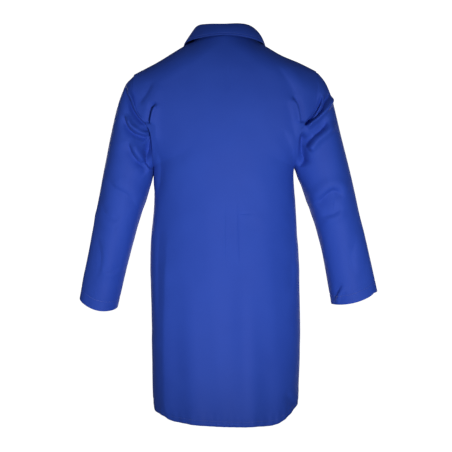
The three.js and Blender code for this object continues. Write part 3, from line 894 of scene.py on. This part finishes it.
# sleeves: the outer and inner edges as seen from behind, share of length against x and z
sleeves = {
    1: {"name": "Left", "dip": 0.017, "dipFrom": 0.0,
        "outer": [(0, 0.235, -0.095), (0.1, 0.2575, -0.128), (0.2, 0.278, -0.180), (0.35, 0.299, -0.268),
                  (0.5, 0.317, -0.362), (0.7, 0.341, -0.487), (0.85, 0.361, -0.583), (1, 0.383, -0.684)],
        "inner": [(0, 0.182, -0.345), (0.1, 0.185, -0.357), (0.2, 0.190, -0.377), (0.35, 0.202, -0.413),
                  (0.5, 0.217, -0.462), (0.7, 0.242, -0.548), (0.85, 0.261, -0.622), (1, 0.283, -0.710)],
        "creases": [
            ([(0.256, -0.136), (0.246, -0.168), (0.233, -0.198), (0.218, -0.224), (0.190, -0.250)],
             0.0046, 0.0105, 0.0080, 1, (0.25, 0.04)),
            ([(0.257, -0.212), (0.249, -0.242), (0.230, -0.262), (0.196, -0.276)],
             0.0058, 0.0085, 0.0080, 1, (0.3, 0.1)),
            ([(0.246, -0.280), (0.236, -0.312), (0.215, -0.338), (0.192, -0.356)],
             0.0085, 0.0068, 0.0060, 1, (0.3, 0.1)),
            ([(0.200, -0.238), (0.193, -0.264), (0.190, -0.300), (0.191, -0.354)],
             0.0110, 0.0180, 0.0, 1, (0.15, 0.15)),
            ([(0.300, -0.370), (0.280, -0.400), (0.245, -0.420), (0.222, -0.452)],
             0.013, 0.0036, 0.0030, 1, (0.3, 0.2)),
            ([(0.322, -0.440), (0.300, -0.470), (0.265, -0.486)], 0.012, 0.0028, 0.0024, -1, (0.3, 0.2)),
            ([(0.265, -0.600), (0.290, -0.611), (0.315, -0.609)], 0.006, 0.0022, 0.0012, 1, (0.3, 0.3)),
            ([(0.330, -0.52), (0.318, -0.58), (0.332, -0.64)], 0.014, 0.0026, 0.0020, 1, (0.3, 0.3))]},
    -1: {"name": "Right", "dip": 0.011, "dipFrom": 0.25,
         "outer": [(0, 0.235, -0.095), (0.1, 0.2615, -0.128), (0.2, 0.282, -0.180), (0.35, 0.304, -0.268),
                   (0.5, 0.327, -0.362), (0.7, 0.354, -0.480), (0.85, 0.378, -0.572), (1, 0.401, -0.668)],
         "inner": [(0, 0.182, -0.345), (0.1, 0.186, -0.357), (0.2, 0.193, -0.377), (0.35, 0.207, -0.413),
                   (0.5, 0.224, -0.462), (0.7, 0.249, -0.548), (0.85, 0.264, -0.616), (1, 0.280, -0.697)],
         "creases": [
             ([(0.272, -0.154), (0.260, -0.178), (0.244, -0.204), (0.222, -0.227), (0.200, -0.243)],
              0.0048, 0.0110, 0.0080, -1, (0.25, 0.06)),
             ([(0.245, -0.160), (0.241, -0.184), (0.226, -0.212), (0.204, -0.240)],
              0.0036, 0.0075, 0.0055, -1, (0.3, 0.1)),
             ([(0.262, -0.222), (0.250, -0.247), (0.222, -0.272), (0.200, -0.300)],
              0.0085, 0.0075, 0.0075, -1, (0.3, 0.1)),
             ([(0.199, -0.258), (0.191, -0.298), (0.191, -0.350)], 0.010, 0.0150, 0.0, 1, (0.2, 0.2)),
             ([(0.304, -0.428), (0.274, -0.408), (0.226, -0.446)], 0.0115, 0.0075, 0.0040, 1, (0.30, 0.25)),
             ([(0.302, -0.446), (0.276, -0.466), (0.240, -0.474)], 0.0080, 0.0028, 0.0030, -1, (0.40, 0.35)),
             ([(0.340, -0.52), (0.325, -0.575), (0.335, -0.63)], 0.014, 0.0026, 0.0020, -1, (0.3, 0.3)),
             ([(0.283, -0.700), (0.290, -0.672), (0.302, -0.640)], 0.0060, 0.0034, 0.0028, 1, (0.2, 0.4)),
             ([(0.296, -0.700), (0.301, -0.680), (0.310, -0.660)], 0.0045, 0.0024, 0.0018, -1, (0.2, 0.4))]},
}
tube = {"columns": 240, "rows": 310, "length": 0.6, "hemWidth": 0.026, "deeper": 1.4,
        "innerTuck": 0.0045, "underTuck": 0.0038, "settle": 0.4, "heart": (0.265, 0, -0.42)}
sleeveDepth = through((0, 0.066), (0.3, 0.066), (0.6, 0.058), (1, 0.052))
sleeveForward = through((0, 0), (0.3, -0.002), (0.6, -0.008), (1, -0.034))


def sleeveHeart(side):
    x, y, z = tube["heart"]
    return side * x, y, z


def sleeveGrid(side):
    sleeve = sleeves[side]
    v = np.linspace(0, 1, tube["rows"])[:, None]
    angle = (np.linspace(0, 2 * math.pi, tube["columns"], endpoint=False) + 1.5 * math.pi)[None, :]
    s, c = np.sin(angle), np.cos(angle)
    lines = {}
    for key in ("outer", "inner"):
        share, xs, zs = zip(*sleeve[key])
        lines[key] = through(*zip(share, xs))(v), through(*zip(share, zs))(v)
    x = mix(lines["inner"][0], lines["outer"][0], 0.5 + 0.5 * s)
    z = mix(lines["inner"][1], lines["outer"][1], 0.5 + 0.5 * s)
    dip = sleeve["dip"] * (0.5 + 0.5 * c) * np.sqrt(np.clip(1 - (s + sleeve["dipFrom"]) ** 2, 0, 1))
    z = z - dip * ease((v - 0.72) / 0.28)
    oval = stack(x, c * sleeveDepth(v) + sleeveForward(v), z)
    half = (cut["tipZ"] - cut["armpitZ"]) / 2
    holeZ = (cut["tipZ"] + cut["armpitZ"]) / 2 + half * s[0]
    holeX = sideX(holeZ)
    share = bulge(holeX / bodyX(holeZ)) * shoulderRound(ridgeZ(holeX) - holeZ)
    holeY = np.where(c[0] > 0, backDepth(holeZ), -frontDepth(holeZ)) * share
    hole = stack(holeX + side * lean(holeZ), holeY, holeZ)
    fade = np.clip(1 - v / tube["settle"], 0, 1)[..., None] ** 2
    grid = oval + (hole - oval[0]) * fade
    grid[..., 0] *= side
    return settle(grid)


def sleeveHeights(side, grid):
    sleeve = sleeves[side]
    heart = sleeveHeart(side)
    facing = normalsOf(grid, heart, True)[..., 1]
    x, z = side * grid[..., 0], grid[..., 2]
    rows, columns = x.shape
    v = np.linspace(0, 1, rows)[:, None] + 0 * x
    angle = np.linspace(0, 2 * math.pi, columns, endpoint=False)[None, :] + 0 * x
    behind, ahead = ease(facing / 0.45 + 0.35), ease(-facing / 0.45 + 0.35)
    high = 0 * x
    for k, (path, width, depth, ridge, way, fade) in enumerate(sleeve["creases"]):
        deeper = tube["deeper"] if max(b for a, b in path) > -0.30 else 1
        high += behind * deeper * crease(x, z, path, width, depth, ridge, way, fade)
        shifted = [(a + 0.004 * math.sin(3 * k), b + 0.018 * math.cos(2 * k) - 0.012) for a, b in path]
        high += ahead * 0.8 * crease(x, z, shifted, width * 1.15, depth, ridge, way, (0.3, 0.25))
    swells = sum(a * np.sin(k * angle + p + 5 * v) for k, a, p in ((3, 0.0008, 0.4), (5, 0.0005, 1.9)))
    high += swells * ease(v / 0.2)
    high += 0.0008 * softNoise(0.5 + 0.5 * np.sin(angle), v, 51 + side, (5, 12))
    hem = 0.0006 * np.exp(-((v - 0.956) / 0.004) ** 2)
    return (high - hem) * ease(v / 0.022) * mix(1, 0.6, ease((v - 0.93) / 0.07))


for side, sleeve in sleeves.items():
    name, low = sleeve["name"], sleeve["name"].lower()
    heart = sleeveHeart(side)
    shape = sleeveGrid(side)
    start = np.linspace(0, 1, tube["rows"])[:, None]
    tucked = tube["underTuck"] * (1 - ease(start / 0.014))
    cloth = lay(shape, heart, sleeveHeights(side, shape) - tucked, True)
    cloth[..., 0] -= side * tube["innerTuck"] * (1 - ease(start / 0.02))
    piece = bend(clothObject(f"sleeve{name}", cloth, heart, closed=True), side, "raise")
    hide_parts(f"sleeve_{low}")
    first = int(tube["rows"] * (1 - tube["hemWidth"] / tube["length"]))
    turnUp = (cloth - normalsOf(cloth, heart, True) * lining["gap"])[first:-2]
    hem = bend(insideCloth(f"sleeveHem{name}", turnUp, heart, True), side, "raise")
    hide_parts(f"sleeve_hem_{low}")
    ring = np.linspace(0, 1, 500)
    run = runOn(np.concatenate([cloth, cloth[:, :1]], 1), heart, ring, (first + 1) / (tube["rows"] - 1))
    stitches = bend(stitchObject(f"sleeve{name}Stitches", [run]), side, "raise")
print("sleeves made")

# snap fasteners: caps and sockets on the left front, studs and posts on the right one
snap = {
    "cap": [(0, 0.0019), (0.0026, 0.0018), (0.0050, 0.0015), (0.0064, 0.0010), (0.0073, 0.0006),
            (0.0075, 0.0003), (0.0074, 0), (0, 0)],
    "socket": [(0.0024, 0.0005), (0.0030, 0.0009), (0.0042, 0.0006), (0.0050, 0.0009), (0.0058, 0.0006),
               (0.0060, 0), (0.0024, 0)],
    "stud": [(0, 0.0021), (0.0012, 0.0020), (0.0018, 0.0016), (0.0017, 0.0009), (0.0026, 0.0006),
             (0.0050, 0.0007), (0.0058, 0.0004), (0.0060, 0), (0, 0)],
    "post": [(0, 0.0004), (0.0020, 0.0004), (0.0026, 0.0008), (0.0042, 0.0008), (0.0049, 0.0004),
             (0.0050, 0), (0, 0)],
}
snapUnder = 0.0018
for number in range(1, 5):
    capLow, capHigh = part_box(f"snap_cap_{number}")
    z = (capLow.z + capHigh.z) / 2
    for side, outer, inner in ((1, "cap", "socket"), (-1, "stud", "post")):
        cloth = fronts[side]["cloth"]
        u = math.asin(cut["lap"] / (sideX(z) + cut["lap"])) / quarter
        v = openingShare(z - cut["hemFront"])
        skin, axis = (p[0] for p in runOn(cloth, bodyMiddle, [u], [v]))
        for kind, lift, way in ((outer, -0.0001, 1), (inner, -snapUnder, -1)):
            name = f"snap{kind.capitalize()}{number}"
            made = latheObject(name, snap[kind], skin + axis * lift, axis * way, hole=kind == "socket")
            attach(made, fronts[side]["body"])
            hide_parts(f"snap_{kind}_{number}")
print("snaps made")


# blank labels, sewn flat to the inside of the cloth
labels = {"neckSize": (0.046, 0.020), "neckZ": -0.046, "careSize": (0.026, 0.044), "careZ": -0.660,
          "careU": (0.892, 0.985), "careColumn": 98, "under": 0.0022, "thickness": 0.0004}


def labelObject(name, node, cloth, us, z, column, flat):
    ends = (z - flat[1] / 2, z + flat[1] / 2)
    v = np.interp(ends, cloth[:, column, 2], np.linspace(0, 1, len(cloth)))
    us, vs = np.linspace(*us, 24)[None, :], np.linspace(*v, 18)[:, None]
    skin, n = runOn(cloth, bodyMiddle, us, vs)
    made = clothObject(name, skin - n * labels["under"], bodyMiddle, labels["thickness"], labelMaterial)
    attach(made, "coat_body")
    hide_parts(node)


labelRow = int(np.argmax(backCloth[:, middleColumn, 2] > labels["neckZ"]))
labelEnds = np.interp((-labels["neckSize"][0] / 2, labels["neckSize"][0] / 2), backCloth[labelRow, :, 0],
                      np.linspace(0, 1, backCloth.shape[1]))
labelObject("neckLabel", "neck_label", backCloth, labelEnds, labels["neckZ"], middleColumn,
            labels["neckSize"])
labelObject("careLabel", "care_label", fronts[1]["cloth"], labels["careU"], labels["careZ"],
            labels["careColumn"], labels["careSize"])

# hanging loop: a narrow folded tape, sewn down at both ends under the collar
loopTape = {"width": 0.0052, "thickness": 0.0016, "steps": 60, "around": 16}
loopLow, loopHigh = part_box("hanging_loop")
middle = (loopLow + loopHigh) / 2
reachX = (loopHigh.x - loopLow.x) / 2 - loopTape["thickness"] / 2
top, bottom = loopHigh.z - 0.0005, loopLow.z + loopTape["thickness"] / 2
halfLoop = [(reachX * out, mix(top, bottom, drop)) for out, drop in ((1, 0), (0.93, 0.45), (0.55, 0.86))]
line = lineThrough([(-x, middle.y, z) for x, z in halfLoop] + [(0, middle.y, bottom)]
                   + [(x, middle.y, z) for x, z in halfLoop[::-1]], np.linspace(0, 1, loopTape["steps"]))
line = resample(line, loopTape["steps"])
along = np.gradient(line, axis=0)
along /= np.linalg.norm(along, axis=1, keepdims=True)
flatWay = np.array([0.0, 1.0, 0.0])
edgeWay = np.cross(along, flatWay)
turn = np.linspace(0, 2 * math.pi, loopTape["around"], endpoint=False)[None, :, None]
squareRound = np.sign(np.cos(turn)) * np.abs(np.cos(turn)) ** 0.5
tape = (line[:, None] + edgeWay[:, None] * np.sin(turn) * loopTape["thickness"] / 2
        + flatWay * squareRound * loopTape["width"] / 2)
index = np.arange(tape.shape[0] * tape.shape[1]).reshape(tape.shape[:2])
index = np.concatenate([index, index[:, :1]], 1)
faces = [(int(index[i, j]), int(index[i, j + 1]), int(index[i + 1, j + 1]), int(index[i + 1, j]))
         for i in range(len(tape) - 1) for j in range(loopTape["around"])]
faces += [[int(k) for k in index[0, :-1][::-1]], [int(k) for k in index[-1, :-1]]]
loopMesh = bpy.data.meshes.new("hangingLoop")
loopMesh.from_pydata(tape.reshape(-1, 3).tolist(), [], faces)
loopPiece = link("hangingLoop", loopMesh, threadMaterial)
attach(loopPiece, "loop")
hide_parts("hanging_loop")
print("labels and loop made")

studio = {
    "floorZ": -1.95, "room": 9.0, "white": 1.0, "ambient": 0.07,
    "camera": {"place": (-0.0026, 2.0, -0.4966), "lens": 61.27},
    "lights": {
        "key": {"place": (-0.75, 3.6, -1.35), "aim": (-0.02, 0, -0.50), "size": 0.22, "power": 540,
                "cone": 0.365, "wide": 1.7},
        "fill": {"place": (2.2, 2.2, -0.3), "aim": (0, 0, -0.5), "size": 1.8, "power": 17},
        "frontKey": {"place": (0.9, -2.6, 0.1), "aim": (0, 0, -0.5), "size": 1.6, "power": 62},
        "frontFill": {"place": (-1.2, -2.4, -0.6), "aim": (0, 0, -0.5), "size": 1.8, "power": 26},
    },
}


def whiteMaterial():
    material, shader, wire = newMaterial("paleStudio", (0.9, 0.9, 0.9), 0.9)
    shader.inputs["Emission Color"].default_value = (1, 1, 1, 1)
    shader.inputs["Emission Strength"].default_value = studio["white"]
    return material


def stageObject(name, points, faces, material):
    mesh = bpy.data.meshes.new(name)
    mesh.from_pydata(points, [], faces)
    mesh.materials.append(material)
    made = bpy.data.objects.new(name, mesh)
    scene.collection.objects.link(made)
    made.visible_diffuse = False
    made.visible_glossy = False
    made.visible_shadow = False


pale = whiteMaterial()
reach, ground = studio["room"], studio["floorZ"]
corners = [(-reach, -reach), (reach, -reach), (reach, reach), (-reach, reach)]
stageObject("floor", [(x, y, ground) for x, y in corners], [(0, 1, 2, 3)], pale)
stageObject("backdrop", [(x, y, z) for z in (ground, reach) for x, y in corners],
            [(0, 1, 5, 4), (1, 2, 6, 5), (2, 3, 7, 6), (3, 0, 4, 7), (4, 5, 6, 7)], pale)
for name, light in studio["lights"].items():
    lamp = bpy.data.lights.new(name, "SPOT" if "cone" in light else "AREA")
    lamp.energy = light["power"]
    holder = bpy.data.objects.new(name, lamp)
    scene.collection.objects.link(holder)
    holder.location = light["place"]
    holder.rotation_euler = (Vector(light["aim"]) - holder.location).to_track_quat("-Z", "Y").to_euler()
    holder.visible_camera = False
    if "cone" in light:
        # an oval of light, soft at its edge, that fades towards the neck and the hem
        lamp.shadow_soft_size, lamp.spot_size, lamp.spot_blend = light["size"], light["cone"], 1.0
        holder.scale = (light["wide"], 1, 1)
    else:
        lamp.size = light["size"]
world = bpy.data.worlds.new("studio")
scene.world = world
world.use_nodes = True
sky = next(n for n in world.node_tree.nodes if n.type == "BACKGROUND")
sky.inputs["Color"].default_value = (1, 1, 1, 1)
sky.inputs["Strength"].default_value = studio["ambient"]
camera = bpy.data.objects.new("camera", bpy.data.cameras.new("camera"))
scene.collection.objects.link(camera)
camera.location = studio["camera"]["place"]
camera.rotation_euler = (quarter, 0, math.pi)
camera.data.lens = studio["camera"]["lens"]
scene.camera = camera
scene.view_settings.view_transform = "Standard"
print("studio made")
